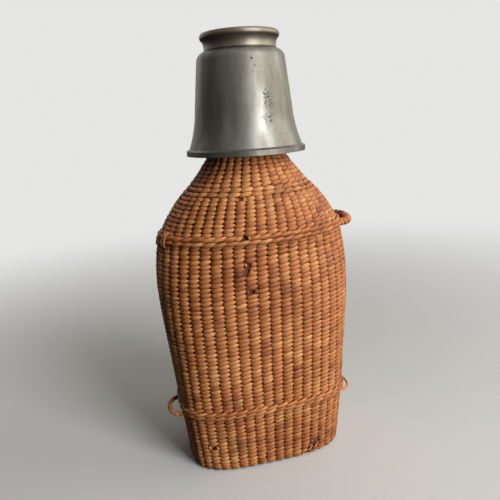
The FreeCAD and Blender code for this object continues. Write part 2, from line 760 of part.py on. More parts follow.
# Every object is sound before anything is written
doc.recompute()
for item in doc.Objects:
    if "Invalid" in item.State or "Error" in item.State:
        raise RuntimeError(item.Label + " failed")

os.makedirs("parts", exist_ok=True)
for item in doc.Objects:
    if item.TypeId not in ("Part::Feature", "PartDesign::Body"):
        continue
    if item.Shape.isNull() or not item.Shape.isValid():
        raise RuntimeError(item.Label + " has no sound shape")
    item.Shape.exportStep("parts/" + item.Label + ".step")
    print(item.Label, len(item.Shape.Solids), round(item.Shape.Volume, 1))
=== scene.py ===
import bisect
import bmesh
import bpy
import math
import random
from mathutils import Matrix, Vector, noise


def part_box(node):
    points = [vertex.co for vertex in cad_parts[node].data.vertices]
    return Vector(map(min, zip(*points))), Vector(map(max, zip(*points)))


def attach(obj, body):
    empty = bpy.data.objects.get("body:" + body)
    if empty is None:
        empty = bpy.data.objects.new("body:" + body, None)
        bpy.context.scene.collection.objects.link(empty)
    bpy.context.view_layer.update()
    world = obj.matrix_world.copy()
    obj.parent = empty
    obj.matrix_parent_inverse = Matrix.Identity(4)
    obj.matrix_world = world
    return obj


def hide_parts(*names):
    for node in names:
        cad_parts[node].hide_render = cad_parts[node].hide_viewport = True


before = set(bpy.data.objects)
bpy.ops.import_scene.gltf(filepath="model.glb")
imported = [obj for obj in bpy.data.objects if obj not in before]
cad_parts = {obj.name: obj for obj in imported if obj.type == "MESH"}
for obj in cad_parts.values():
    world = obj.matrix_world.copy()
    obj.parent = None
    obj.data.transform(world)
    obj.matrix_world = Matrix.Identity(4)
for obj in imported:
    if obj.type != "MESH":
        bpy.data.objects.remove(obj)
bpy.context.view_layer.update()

# Camera, light and floor
# The camera stands a step in front of the flask, a little to its left, and looks slightly down
# One tall soft light stands like a window to the right of it
# What surrounds it is dim on the left, warm and pale on the right

CAMERA_PLACE = Vector((-0.07349, -0.28751, 0.20215))
CAMERA_HEADING = math.radians(75.89)
CAMERA_TILT = math.radians(-14.43)
CAMERA_ROLL = math.radians(-3.52)
CAMERA_LENS = 37.55
LIT_POINT = Vector((0.0, 0.0, 0.12))

camera_data = bpy.data.cameras.new("camera")
camera_data.lens = CAMERA_LENS
camera_data.sensor_width = 36.0
camera_data.clip_start = 0.01
camera = bpy.data.objects.new("camera", camera_data)
bpy.context.collection.objects.link(camera)
level = math.cos(CAMERA_TILT)
forward = Vector((level * math.cos(CAMERA_HEADING), level * math.sin(CAMERA_HEADING), math.sin(CAMERA_TILT)))
aim = forward.to_track_quat("-Z", "Y").to_matrix().to_4x4()
camera.matrix_world = Matrix.Translation(CAMERA_PLACE) @ aim @ Matrix.Rotation(CAMERA_ROLL, 4, "Z")
bpy.context.scene.camera = camera


def soft_light(name, heading, rise, distance, width, height, watts, colour):
    """Panel of light that faces the flask, at a heading and a rise in degrees."""
    panel = bpy.data.lights.new(name, "AREA")
    panel.shape = "RECTANGLE"
    panel.size = width
    panel.size_y = height
    panel.energy = watts
    panel.color = colour
    turn = math.radians(heading)
    lift = math.radians(rise)
    away = Vector((math.cos(lift) * math.cos(turn), math.cos(lift) * math.sin(turn), math.sin(lift)))
    lamp = bpy.data.objects.new(name, panel)
    bpy.context.collection.objects.link(lamp)
    facing = away.to_track_quat("Z", "Y").to_matrix().to_4x4()
    lamp.matrix_world = Matrix.Translation(LIT_POINT + away * distance) @ facing


# Heading and rise in degrees, distance, width, height, watts and colour of each light
LIGHTS = (
    ("window_light", 297, 22, 0.78, 0.34, 0.90, 6.8, (0.97, 0.98, 0.98)),
    ("warm_side_light", 350, 14, 1.2, 0.8, 0.9, 3.6, (1.0, 0.95, 0.88)),
    ("top_light", 300, 70, 1.2, 0.7, 0.7, 1.0, (1.0, 1.0, 1.0)),
)
for light in LIGHTS:
    soft_light(*light)


def ranged(tree, value, low, high, to_low=0.0, to_high=1.0):
    """Value mapped smoothly from one range to another."""
    node = tree.nodes.new("ShaderNodeMapRange")
    node.interpolation_type = "SMOOTHSTEP"
    node.inputs["From Min"].default_value = low
    node.inputs["From Max"].default_value = high
    node.inputs["To Min"].default_value = to_low
    node.inputs["To Max"].default_value = to_high
    tree.links.new(value, node.inputs["Value"])
    return node.outputs["Result"]


def blended(tree, kind, factor, first, second):
    """Mix node of two colours; returns its colour."""
    node = tree.nodes.new("ShaderNodeMix")
    node.data_type = "RGBA"
    node.blend_type = kind
    for socket, value in ((node.inputs[0], factor), (node.inputs[6], first), (node.inputs[7], second)):
        if isinstance(value, (int, float, tuple)):
            socket.default_value = value
        else:
            tree.links.new(value, socket)
    return node.outputs[2]


PALE_BACKDROP = (0.79, 0.79, 0.775, 1.0)
DIM_LEFT = (0.025, 0.025, 0.025, 1.0)
WARM_RIGHT = (0.55, 0.51, 0.44, 1.0)
GREY_BACK = (0.55, 0.55, 0.54, 1.0)
# The pewter mirrors brighter surroundings than those that light the weave
MIRRORED_FRONT = (0.34, 0.32, 0.29, 1.0)
MIRRORED_RIGHT = (1.05, 1.0, 0.86, 1.0)
MIRRORED_LEFT = (0.13, 0.12, 0.11, 1.0)
MIRRORED_BACK = (0.80, 0.82, 0.82, 1.0)
world = bpy.data.worlds.new("surrounding_light")
world.use_nodes = True
tree = world.node_tree
heading_parts = tree.nodes.new("ShaderNodeSeparateXYZ")
tree.links.new(tree.nodes.new("ShaderNodeTexCoord").outputs["Generated"], heading_parts.inputs["Vector"])
to_right = ranged(tree, heading_parts.outputs["X"], -0.15, 0.95)
to_back = ranged(tree, heading_parts.outputs["Y"], 0.45, 0.95)
surround = blended(tree, "MIX", to_right, DIM_LEFT, WARM_RIGHT)
surround = blended(tree, "MIX", to_back, surround, GREY_BACK)
rays = tree.nodes.new("ShaderNodeLightPath").outputs
to_left = ranged(tree, heading_parts.outputs["X"], -0.76, -0.93)
mirrored = blended(tree, "MIX", to_right, MIRRORED_FRONT, MIRRORED_RIGHT)
mirrored = blended(tree, "MIX", to_left, mirrored, MIRRORED_LEFT)
mirrored = blended(tree, "MIX", to_back, mirrored, MIRRORED_BACK)
surround = blended(tree, "MIX", rays["Is Glossy Ray"], surround, mirrored)
backdrop = blended(tree, "MIX", rays["Is Camera Ray"], surround, PALE_BACKDROP)
tree.links.new(backdrop, tree.nodes["Background"].inputs["Color"])
tree.nodes["Background"].inputs["Strength"].default_value = 1.0
bpy.context.scene.world = world
bpy.context.scene.view_settings.view_transform = "Standard"


def new_material(name):
    """Node material with a Principled BSDF; returns it, its nodes, its links and that shader."""
    material = bpy.data.materials.new(name)
    material.use_nodes = True
    tree = material.node_tree
    return material, tree.nodes, tree.links, tree.nodes["Principled BSDF"]


def maths(tree, kind, first, second=None):
    """Math node on sockets or numbers; returns its output."""
    node = tree.nodes.new("ShaderNodeMath")
    node.operation = kind
    for socket, value in zip(node.inputs, (first, second)):
        if value is None:
            continue
        if isinstance(value, (int, float)):
            socket.default_value = value
        else:
            tree.links.new(value, socket)
    return node.outputs[0]


BLACK = (0.0, 0.0, 0.0, 1.0)
FLOOR_SEEN = (0.74, 0.74, 0.73, 1.0)
FLOOR_BOUNCE = (0.06, 0.058, 0.056, 1.0)
FLOOR_FADE_START = 0.12
FLOOR_FADE_END = 0.75
FLOOR_SIZE = 6.0

floor_material, nodes, links, shader = new_material("pale_floor")
tree = floor_material.node_tree
shader.inputs["Roughness"].default_value = 0.9
shader.inputs["Specular IOR Level"].default_value = 0.0
away = nodes.new("ShaderNodeVectorMath")
away.operation = "LENGTH"
links.new(nodes.new("ShaderNodeTexCoord").outputs["Object"], away.inputs[0])
seen = nodes.new("ShaderNodeLightPath").outputs["Is Camera Ray"]
fade = ranged(tree, away.outputs["Value"], FLOOR_FADE_START, FLOOR_FADE_END)
far = maths(tree, "MULTIPLY", fade, seen)
near_colour = blended(tree, "MIX", seen, FLOOR_BOUNCE, FLOOR_SEEN)
links.new(blended(tree, "MIX", far, near_colour, BLACK), shader.inputs["Base Color"])
links.new(blended(tree, "MIX", far, BLACK, PALE_BACKDROP), shader.inputs["Emission Color"])
shader.inputs["Emission Strength"].default_value = 1.0

floor_mesh = bpy.data.meshes.new("floor")
bm = bmesh.new()
bmesh.ops.create_grid(bm, x_segments=1, y_segments=1, size=FLOOR_SIZE)
bm.to_mesh(floor_mesh)
bm.free()
floor = bpy.data.objects.new("floor", floor_mesh)
bpy.context.collection.objects.link(floor)
floor_mesh.materials.append(floor_material)

# Woven cover: what the weave follows
# The wicker is a flat oval that swells to the belly, turns in over a round shoulder
# and ends in an upright neck
# Its section is squarish at the base, oval at the belly and round at the neck

# Heights up the flask and half lengths of its oval there
STATIONS = (
    (0.000, 0.0468),
    (0.060, 0.0527),
    (0.108, 0.0568),
    (0.130, 0.0556),
    (0.143, 0.0516),
    (0.157, 0.0426),
    (0.170, 0.0306),
    (0.181, 0.0224),
    (0.189, 0.0190),
    (0.207, 0.0190),
)
CROWN_HEIGHT = 0.130
COLLAR_HEIGHT = 0.181
SQUARE_HEIGHT = 0.040
FLATNESS = 0.58
BASE_SQUARENESS = 3.1
EDGE_HEIGHT = 0.0036
EDGE_INSET = 0.0022
RING_STEPS = 288
EDGE_SHARE = 0.003
FRAME_SHARE = 0.004
FRAME_RISE = 0.0008


def station_slope(place):
    """Slope of the half length at one station."""
    if place >= len(STATIONS) - 2:
        return 0.0
    low = STATIONS[max(place - 1, 0)]
    high = STATIONS[place + 1]
    return (high[1] - low[1]) / (high[0] - low[0])


def half_length(height):
    """Half length of the oval at one height, by a smooth curve through the stations."""
    place = 0
    while place < len(STATIONS) - 2 and height > STATIONS[place + 1][0]:
        place += 1
    (low, low_length), (high, high_length) = STATIONS[place], STATIONS[place + 1]
    run = high - low
    t = min(max((height - low) / run, 0.0), 1.0)
    value = low_length * (1 + 2 * t) * (1 - t) ** 2 + high_length * t * t * (3 - 2 * t)
    value += run * station_slope(place) * t * (1 - t) ** 2
    return value - run * station_slope(place + 1) * t * t * (1 - t)


def share_of(low, high, value):
    """How far a value has come from low to high, held between 0 and 1."""
    return min(max((value - low) / (high - low), 0.0), 1.0)


def edge_inset(height):
    """How far the rounded bottom edge lies inside the outline."""
    if height >= EDGE_HEIGHT:
        return 0.0
    rise = 1 - max(height, 0.0) / EDGE_HEIGHT
    return EDGE_INSET * (1 - math.sqrt(max(1 - rise * rise, 0.0)))


wall_rings = {}


def wall_ring(height):
    """Shares, points and girth of the wall at one height, from the front's middle round by the right."""
    key = round(height, 6)
    if key in wall_rings:
        return wall_rings[key]
    length = half_length(height)
    depth = length * (FLATNESS + (1 - FLATNESS) * share_of(CROWN_HEIGHT, COLLAR_HEIGHT, height) ** 1.2)
    power = 2 / (BASE_SQUARENESS + (2 - BASE_SQUARENESS) * share_of(SQUARE_HEIGHT, CROWN_HEIGHT, height))
    points = []
    for step in range(RING_STEPS + 1):
        angle = math.pi * (2 * step / RING_STEPS - 0.5)
        c = math.cos(angle)
        s = math.sin(angle)
        x = math.copysign(abs(c) ** power, c) * length
        y = math.copysign(abs(s) ** power, s) * depth
        points.append(Vector((x, y, height)))
    shares = [0.0]
    for before, after in zip(points, points[1:]):
        shares.append(shares[-1] + (after - before).length)
    girth = shares[-1]
    wall_rings[key] = ([value / girth for value in shares], points, girth)
    return wall_rings[key]


def outline_point(height, share):
    """Point of the wall's outline at a height and a share of the girth."""
    shares, points, girth = wall_ring(height)
    share %= 1.0
    place = min(max(bisect.bisect_right(shares, share) - 1, 0), len(points) - 2)
    part = (share - shares[place]) / (shares[place + 1] - shares[place])
    return points[place].lerp(points[place + 1], part)


def wall_point(height, share, inset=0.0):
    """Point of the wall, moved level inwards by inset and by the rounding of the bottom edge."""
    here = outline_point(height, share)
    along = outline_point(height, share + EDGE_SHARE) - outline_point(height, share - EDGE_SHARE)
    out = Vector((along.y, -along.x, 0.0)).normalized()
    return here - out * (inset + edge_inset(height))


def wall_frame(height, share):
    """Point of the wall with its directions to the right, up and outwards."""
    here = wall_point(height, share)
    right = (wall_point(height, share + FRAME_SHARE) - wall_point(height, share - FRAME_SHARE)).normalized()
    low = max(height - FRAME_RISE, 0.0)
    up = (wall_point(height + FRAME_RISE, share) - wall_point(low, share)).normalized()
    out = right.cross(up).normalized()
    return here, right, out.cross(right), out


# Woven cover: backing
# The stakes and the inner faces of the weave, coloured with painted shade and dirt so that they show as a
# dark wall between the stitches
# It is one closed skin: floor, wall, top edge and the inside that fits round the glass

BACKING_INSET = 0.0018
COVER_WALL = 0.0028
COVER_FLOOR = 0.0024
COVER_TOP = 0.207
BACKING_STEPS = 96
BACKING_PITCH = 0.004
UPPER_INSIDE = (0.2068, 0.198, 0.189, 0.181, 0.170, 0.157, 0.143, 0.130)
LOWER_INSIDE = (0.108, 0.084, 0.060, 0.030, 0.010)
# Both backing colours are darker than the cane: painted shade in the gaps between the stitches, with dirt
BACKING_DARK = (0.165, 0.047, 0.017, 1.0)
BACKING_BROWN = (0.24, 0.075, 0.026, 1.0)


def finish_mesh(bm, name, material):
    """Object made from a bmesh, at the origin."""
    bmesh.ops.recalc_face_normals(bm, faces=bm.faces)
    mesh = bpy.data.meshes.new(name)
    bm.to_mesh(mesh)
    bm.free()
    mesh.shade_smooth()
    mesh.materials.append(material)
    piece = bpy.data.objects.new(name, mesh)
    bpy.context.collection.objects.link(piece)
    return piece


def put_group(nodes, group):
    """Node that uses a node group."""
    node = nodes.new("ShaderNodeGroup")
    node.node_tree = group
    return node


def group_tree(name, inputs, outputs):
    """Empty node group with sockets given as (name, kind, value) and (name, kind)."""
    tree = bpy.data.node_groups.new(name, "ShaderNodeTree")
    for label, kind, value in inputs:
        socket = tree.interface.new_socket(label, in_out="INPUT", socket_type=kind)
        socket.default_value = value
    for label, kind in outputs:
        tree.interface.new_socket(label, in_out="OUTPUT", socket_type=kind)
    return tree, tree.nodes.new("NodeGroupInput"), tree.nodes.new("NodeGroupOutput")


def noise_value(tree, vector, scale, detail=2.0, roughness=0.5):
    """Noise between 0 and 1 at a place."""
    node = tree.nodes.new("ShaderNodeTexNoise")
    node.inputs["Scale"].default_value = scale
    node.inputs["Detail"].default_value = detail
    node.inputs["Roughness"].default_value = roughness
    if vector is not None:
        tree.links.new(vector, node.inputs["Vector"])
    return node.outputs["Fac"]


# Old wicker is honey brown on its crests; between the stakes it is darker, with painted shade as well as
# gathered dirt
stain_group, stain_in, stain_out = group_tree(
    "wicker_stains",
    [("Size", "NodeSocketFloat", 60.0)],
    [("Stain", "NodeSocketFloat"), ("Patch", "NodeSocketFloat")],
)
where = stain_group.nodes.new("ShaderNodeTexCoord").outputs["Object"]
stain_noise = stain_group.nodes.new("ShaderNodeTexNoise")
stain_noise.inputs["Detail"].default_value = 3.0
stain_group.links.new(where, stain_noise.inputs["Vector"])
stain_group.links.new(stain_in.outputs["Size"], stain_noise.inputs["Scale"])
stain_group.links.new(ranged(stain_group, stain_noise.outputs["Fac"], 0.55, 0.75), stain_out.inputs["Stain"])
patch_noise = noise_value(stain_group, where, 22.0, 2.0)
stain_group.links.new(ranged(stain_group, patch_noise, 0.35, 0.65), stain_out.inputs["Patch"])

backing_material, nodes, links, shader = new_material("dark_weave_backing")
tree = backing_material.node_tree
stains = put_group(nodes, stain_group)
backing_colour = blended(tree, "MIX", stains.outputs["Patch"], BACKING_DARK, BACKING_BROWN)
links.new(backing_colour, shader.inputs["Base Color"])
shader.inputs["Roughness"].default_value = 0.9
grain = noise_value(tree, nodes.new("ShaderNodeTexCoord").outputs["Object"], 700.0, 3.0)
bump = nodes.new("ShaderNodeBump")
bump.inputs["Strength"].default_value = 0.5
bump.inputs["Distance"].default_value = 0.0003
links.new(grain, bump.inputs["Height"])
links.new(bump.outputs["Normal"], shader.inputs["Normal"])

backing_levels = [(0.0009, 0.0012)]
height = 0.003
while height < COVER_TOP - 0.002:
    backing_levels.append((height, BACKING_INSET))
    height += BACKING_PITCH
backing_levels.append((COVER_TOP - 0.0004, BACKING_INSET))
backing_levels.append((COVER_TOP, BACKING_INSET + 0.0004))
backing_levels += [(height, COVER_WALL) for height in UPPER_INSIDE + LOWER_INSIDE]
backing_levels += [(0.005, COVER_WALL + 0.001), (COVER_FLOOR, COVER_WALL + 0.004)]

bm = bmesh.new()
place_layer = bm.verts.layers.int.new("place")
ring = bmesh.ops.create_circle(bm, cap_ends=True, segments=BACKING_STEPS, radius=1.0)["verts"]
for place, vert in enumerate(ring):
    vert[place_layer] = place
edges = list(bm.edges)
for step, (height, inset) in enumerate(backing_levels):
    if step:
        grown = bmesh.ops.extrude_edge_only(bm, edges=edges)["geom"]
        ring = [item for item in grown if isinstance(item, bmesh.types.BMVert)]
        edges = [item for item in grown if isinstance(item, bmesh.types.BMEdge)]
        edges = [edge for edge in edges if edge.is_boundary]
    for vert in ring:
        vert.co = wall_point(height, vert[place_layer] / BACKING_STEPS, inset)
bmesh.ops.contextual_create(bm, geom=edges)
backing = finish_mesh(bm, "weave_backing", backing_material)
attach(backing, "flask")
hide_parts("woven_cover")

# Woven cover: twined stitches
# Round willow strands twined past upright stakes, each rising to the right with its point tucked in
# One stitch is shaped once and laid row by row, a little different in size, turn and colour each time

COLUMNS = 46
THROAT_COLUMNS = 34
MERGE_HEIGHT = 0.1635
ROW_PITCH = 0.00252
STITCH_THICKNESS = 0.0015
STITCH_SLANT = math.radians(13.0)
UPPER_BAND = 0.1398
LOWER_BAND = 0.0379
UPPER_BAND_HALF = 0.0025
LOWER_BAND_HALF = 0.0021
FIBRES_ALONG = 1.4
FIBRES_ACROSS = 7.0
TONE_SHIFT = 191.0
# Cane from its dirtiest to its palest, by tone
DARKEST_CANE = (0.16, 0.043, 0.014, 1.0)
CANE_TONES = (
    (0.25, (0.34, 0.098, 0.027, 1.0)),
    (0.5, (0.52, 0.175, 0.047, 1.0)),
    (0.75, (0.65, 0.262, 0.075, 1.0)),
)
PALEST_CANE = (0.82, 0.40, 0.135, 1.0)
PINK_TINT = (0.92, 0.88, 1.15, 1.0)
# Brown towards which the painted shade and dirt at strand edges and ends, and the stains, darken the cane
SHADE_AND_DIRT_BROWN = (0.13, 0.038, 0.015, 1.0)

strand_group, strand_in, strand_out = group_tree(
    "cane_strand",
    [("ShadeAndDirt", "NodeSocketFloat", 1.0)],
    [("Color", "NodeSocketColor"), ("Roughness", "NodeSocketFloat"), ("Height", "NodeSocketFloat")],
)
tree = strand_group
strand = tree.nodes.new("ShaderNodeAttribute")
strand.attribute_name = "strand"
apart = tree.nodes.new("ShaderNodeSeparateXYZ")
tree.links.new(strand.outputs["Vector"], apart.inputs["Vector"])
along, across, tone = apart.outputs["X"], apart.outputs["Y"], apart.outputs["Z"]
stretched = tree.nodes.new("ShaderNodeCombineXYZ")
tree.links.new(maths(tree, "MULTIPLY", along, FIBRES_ALONG), stretched.inputs["X"])
tree.links.new(maths(tree, "MULTIPLY", across, FIBRES_ACROSS), stretched.inputs["Y"])
tree.links.new(maths(tree, "MULTIPLY", tone, TONE_SHIFT), stretched.inputs["Z"])
fibres = noise_value(tree, stretched.outputs["Vector"], 1.7, 4.0, 0.6)
fibre_shade = maths(tree, "MULTIPLY", maths(tree, "SUBTRACT", fibres, 0.5), 0.50)
# Painted light: each strand is lighter towards its right end, as if raised into the light, and darker at its
# left
painted_light_along = maths(tree, "MULTIPLY", maths(tree, "SUBTRACT", along, 0.55), 0.24)
tone_and_painted_light = maths(tree, "ADD", tone, maths(tree, "ADD", fibre_shade, painted_light_along))
tones = tree.nodes.new("ShaderNodeValToRGB")
ramp = tones.color_ramp
ramp.elements[0].position = 0.0
ramp.elements[0].color = DARKEST_CANE
ramp.elements[1].position = 1.0
ramp.elements[1].color = PALEST_CANE
for position, colour in CANE_TONES:
    stop = ramp.elements.new(position)
    stop.color = colour
tree.links.new(tone_and_painted_light, tones.inputs["Fac"])
kind = maths(tree, "FRACT", maths(tree, "MULTIPLY", tone, 53.0))
pink_share = maths(tree, "MULTIPLY", kind, 0.6)
pinkish = blended(tree, "MULTIPLY", pink_share, tones.outputs["Color"], PINK_TINT)
# Painted shade with dirt: each strand darkens at its edges, where the rows meet, and at the end where it
# comes out of the weave; the stains are dirt alone
edge_shade_and_dirt = maths(tree, "MULTIPLY", ranged(tree, maths(tree, "ABSOLUTE", across), 0.66, 1.0), 0.80)
start_shade_and_dirt = maths(tree, "MULTIPLY", ranged(tree, along, 0.26, 0.05), 0.90)
stains = put_group(tree.nodes, stain_group)
spot_dirt = maths(tree, "MULTIPLY", stains.outputs["Stain"], 0.55)
shade_and_dirt = maths(tree, "MAXIMUM", maths(tree, "MAXIMUM", edge_shade_and_dirt, start_shade_and_dirt), spot_dirt)
shade_and_dirt = maths(tree, "MULTIPLY", shade_and_dirt, strand_in.outputs["ShadeAndDirt"])
shaded_and_soiled = blended(tree, "MIX", shade_and_dirt, pinkish, SHADE_AND_DIRT_BROWN)
tree.links.new(shaded_and_soiled, strand_out.inputs["Color"])
tree.links.new(ranged(tree, fibres, 0.3, 0.7, 0.40, 0.62), strand_out.inputs["Roughness"])
tree.links.new(fibres, strand_out.inputs["Height"])


def cane_material(name, shade_and_dirt, bump_distance):
    """Material of split cane that reads the strand attribute of its piece."""
    material, nodes, links, shader = new_material(name)
    cane = put_group(nodes, strand_group)
    cane.inputs["ShadeAndDirt"].default_value = shade_and_dirt
    bump = nodes.new("ShaderNodeBump")
    bump.inputs["Strength"].default_value = 0.6
    bump.inputs["Distance"].default_value = bump_distance
    links.new(cane.outputs["Color"], shader.inputs["Base Color"])
    links.new(cane.outputs["Roughness"], shader.inputs["Roughness"])
    links.new(cane.outputs["Height"], bump.inputs["Height"])
    links.new(bump.outputs["Normal"], shader.inputs["Normal"])
    shader.inputs["Specular IOR Level"].default_value = 0.4
    shader.inputs["Coat Weight"].default_value = 0.12
    shader.inputs["Coat Roughness"].default_value = 0.35
    return material


weave_material = cane_material("twined_willow", 1.0, 0.00025)
# Half width of a strand at which its painted edge shade and dirt is darkest
SHADE_AND_DIRT_EDGE = 0.46
FLATTENED_WIDTH = 1.06


def stitch_shape(name, width_at, lift_at):
    """One strand of unit length, a little flattened, shaped by two functions of its length."""
    bm = bmesh.new()
    strand_layer = bm.verts.layers.float_vector.new("strand")
    bmesh.ops.create_uvsphere(bm, u_segments=8, v_segments=7, radius=0.5)
    bmesh.ops.rotate(bm, verts=bm.verts, matrix=Matrix.Rotation(math.pi / 2, 3, "Y"))
    bmesh.ops.rotate(bm, verts=bm.verts, matrix=Matrix.Rotation(math.pi / 8, 3, "X"))
    for vert in bm.verts:
        x = vert.co.x
        round_half = math.hypot(vert.co.y, vert.co.z)
        grow = width_at(x) / round_half if round_half > 1e-3 else 0.0
        y = vert.co.y * grow
        z = vert.co.z * grow
        vert[strand_layer] = (x + 0.5, y / SHADE_AND_DIRT_EDGE, 0.0)
        vert.co = (x, y * FLATTENED_WIDTH, z + lift_at(x))
    for face in bm.faces:
        face.smooth = True
    bmesh.ops.recalc_face_normals(bm, faces=bm.faces)
    mesh = bpy.data.meshes.new(name)
    bm.to_mesh(mesh)
    bm.free()
    return mesh


def stitch_width(x):
    """Blunt where the strand comes out, rounded to a point where it tucks in."""
    if x < 0:
        return 0.5 * (1 - (-x / 0.5) ** 5) ** 0.5
    return 0.5 * (1 - (x / 0.5) ** 2.4) ** 0.8


def stitch_lift(x):
    """Arch over the stake, in strand thicknesses: low where it comes out, less so at the point."""
    fall = 0.42 if x > 0.05 else 0.80
    return -fall * ((x - 0.05) / 0.5) ** 2


def lay_strands(name, shape, laid, material):
    """Piece made of one shape laid many times; each entry is its place and its tone."""
    bm = bmesh.new()
    for entry in laid:
        bm.from_mesh(shape)
    strand_layer = bm.verts.layers.float_vector["strand"]
    count = len(shape.vertices)
    for index, vert in enumerate(bm.verts):
        place, tone = laid[index // count]
        vert.co = place @ vert.co
        vert[strand_layer].z = tone
    mesh = bpy.data.meshes.new(name)
    bm.to_mesh(mesh)
    bm.free()
    mesh.materials.append(material)
    piece = bpy.data.objects.new(name, mesh)
    bpy.context.collection.objects.link(piece)
    return piece


# Dark marks on the front: place on X, height, half width, half height and depth
STAINS = (
    (-0.0145, 0.1190, 0.0020, 0.0050, 0.45),
    (-0.0200, 0.1400, 0.0022, 0.0016, 0.40),
    (-0.0125, 0.1560, 0.0022, 0.0040, 0.40),
    (0.0130, 0.0980, 0.0014, 0.0016, 0.40),
    (0.0260, 0.0080, 0.0040, 0.0050, 0.30),
    (-0.0090, 0.1120, 0.0020, 0.0030, 0.30),
)
MIDDLE_TONE = 0.60
PATCH_DEPTH = 0.42
CHANCE_DEPTH = 0.11


def strand_tone(point):
    """Tone of one strand: patches over the flask, dark marks on the front, and chance."""
    patch = noise.noise(point * 38.0) * 0.5 + noise.noise(point * 140.0) * 0.35
    tone = MIDDLE_TONE + patch * PATCH_DEPTH + random.gauss(0.0, CHANCE_DEPTH)
    if point.y < 0:
        for x, z, half_width, half_height, depth in STAINS:
            off = ((point.x - x) / half_width) ** 2 + ((point.z - z) / half_height) ** 2
            tone -= depth * math.exp(-off)
    return min(max(tone, 0.02), 0.98)


def strand_place(base, right, up, out, length, width, thickness, slant):
    """Transform that lays a unit strand on the wall at its size, turned up by its slant."""
    turned = right * math.cos(slant) + up * math.sin(slant)
    upright = out.cross(turned)
    matrix = Matrix.Identity(4)
    for column, (axis, scale) in enumerate(((turned, length), (upright, width), (out, thickness))):
        for row in range(3):
            matrix[row][column] = axis[row] * scale
    matrix.translation = base
    return matrix


def row_heights(low, high, pitch):
    """Heights of rows that lie one pitch apart along the wall."""
    heights = []
    height = low
    while height <= high:
        heights.append(height)
        run = 0.0
        for share in (0.0, 0.25):
            run += (wall_point(height + 0.001, share) - wall_point(height, share)).length
        height += pitch * 0.002 / run
    return heights


# Breaks in the front: place on X, height, width, height from edge to edge, and lean to the right as they rise
BREAKS = (
    (0.0240, 0.0050, 0.0030, 0.0078, 0.9),
    (-0.0360, 0.0155, 0.0024, 0.0018, 0.0),
    (-0.0116, 0.1238, 0.0014, 0.0068, 0.34),
    (-0.0098, 0.1100, 0.0016, 0.0024, 0.0),
    (-0.0122, 0.1605, 0.0017, 0.0016, 0.0),
    (-0.0116, 0.1402, 0.0018, 0.0022, 0.0),
)
SHORTEST_END = 0.0012


def sound_parts(point, length):
    """Stretches of a strand, from its middle, that the breaks leave of it."""
    whole = (-length / 2, length / 2)
    if point.y > 0:
        return [whole]
    for x, z, wide, tall, lean in BREAKS:
        rise = point.z - z
        if abs(rise) > tall / 2:
            continue
        middle = x + lean * rise - point.x
        left = middle - wide / 2 + random.uniform(-0.0002, 0.0002)
        right = middle + wide / 2 + random.uniform(-0.0002, 0.0002)
        if left < whole[1] and right > whole[0]:
            ends = ((whole[0], left), (right, whole[1]))
            return [(start, end) for start, end in ends if end - start > SHORTEST_END]
    return [whole]


def lay_row(laid, height, columns, start, sizes, slant_range, inset):
    """Adds one row's strands to laid; sizes are the length over the pitch, the width and the thickness."""
    girth = wall_ring(height)[2]
    overlap, width, thickness = sizes
    slant, slant_spread = slant_range
    for column in range(columns):
        share = (column + start) / columns + random.gauss(0.0, 0.0003)
        here, right, up, out = wall_frame(height, share)
        length = girth / columns * overlap * random.uniform(0.96, 1.04)
        turn = slant + random.gauss(0.0, slant_spread)
        base = here - out * (inset + random.uniform(-0.0001, 0.0001)) + up * random.gauss(0.0, 0.0001)
        wide = width * random.uniform(0.95, 1.06)
        tone = strand_tone(here)
        for low, high in sound_parts(here, length):
            middle = base + right * ((low + high) / 2)
            laid.append((strand_place(middle, right, up, out, high - low, wide, thickness, turn), tone))


random.seed(7)
stitch = stitch_shape("stitch", stitch_width, stitch_lift)
BODY_LOW = LOWER_BAND + LOWER_BAND_HALF + 0.0007
BODY_HIGH = UPPER_BAND - UPPER_BAND_HALF - 0.0005
LOWER_WEAVE_HIGH = LOWER_BAND - LOWER_BAND_HALF - 0.0005
SHOULDER_LOW = UPPER_BAND + UPPER_BAND_HALF + 0.0008
SHOULDER_HIGH = MERGE_HEIGHT - 0.0012
THROAT_LOW = MERGE_HEIGHT + 0.0046
THROAT_HIGH = COVER_TOP - 0.0012
LOWEST_ROW = 0.0012
body_rows = row_heights(BODY_LOW, BODY_HIGH, ROW_PITCH)
half_count = len(body_rows) // 2
weave_zones = (
    ("lower_weave", row_heights(LOWEST_ROW, LOWER_WEAVE_HIGH, ROW_PITCH), COLUMNS),
    ("body_weave_low", body_rows[:half_count], COLUMNS),
    ("body_weave_high", body_rows[half_count:], COLUMNS),
    ("shoulder_weave", row_heights(SHOULDER_LOW, SHOULDER_HIGH, ROW_PITCH), COLUMNS),
    ("throat_weave", row_heights(THROAT_LOW, THROAT_HIGH, ROW_PITCH), THROAT_COLUMNS),
)
STITCH_SIZES = (1.17, ROW_PITCH * 1.16, STITCH_THICKNESS)
for name, heights, columns in weave_zones:
    laid = []
    for height in heights:
        lay_row(laid, height, columns, 0.5, STITCH_SIZES, (STITCH_SLANT, 0.035), STITCH_THICKNESS / 2)
    piece = lay_strands(name, stitch, laid, weave_material)
    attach(piece, "flask")
    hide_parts("woven_cover")

# Woven cover: base
# The same strands twined in flat ovals under the flask, where the stakes turn in

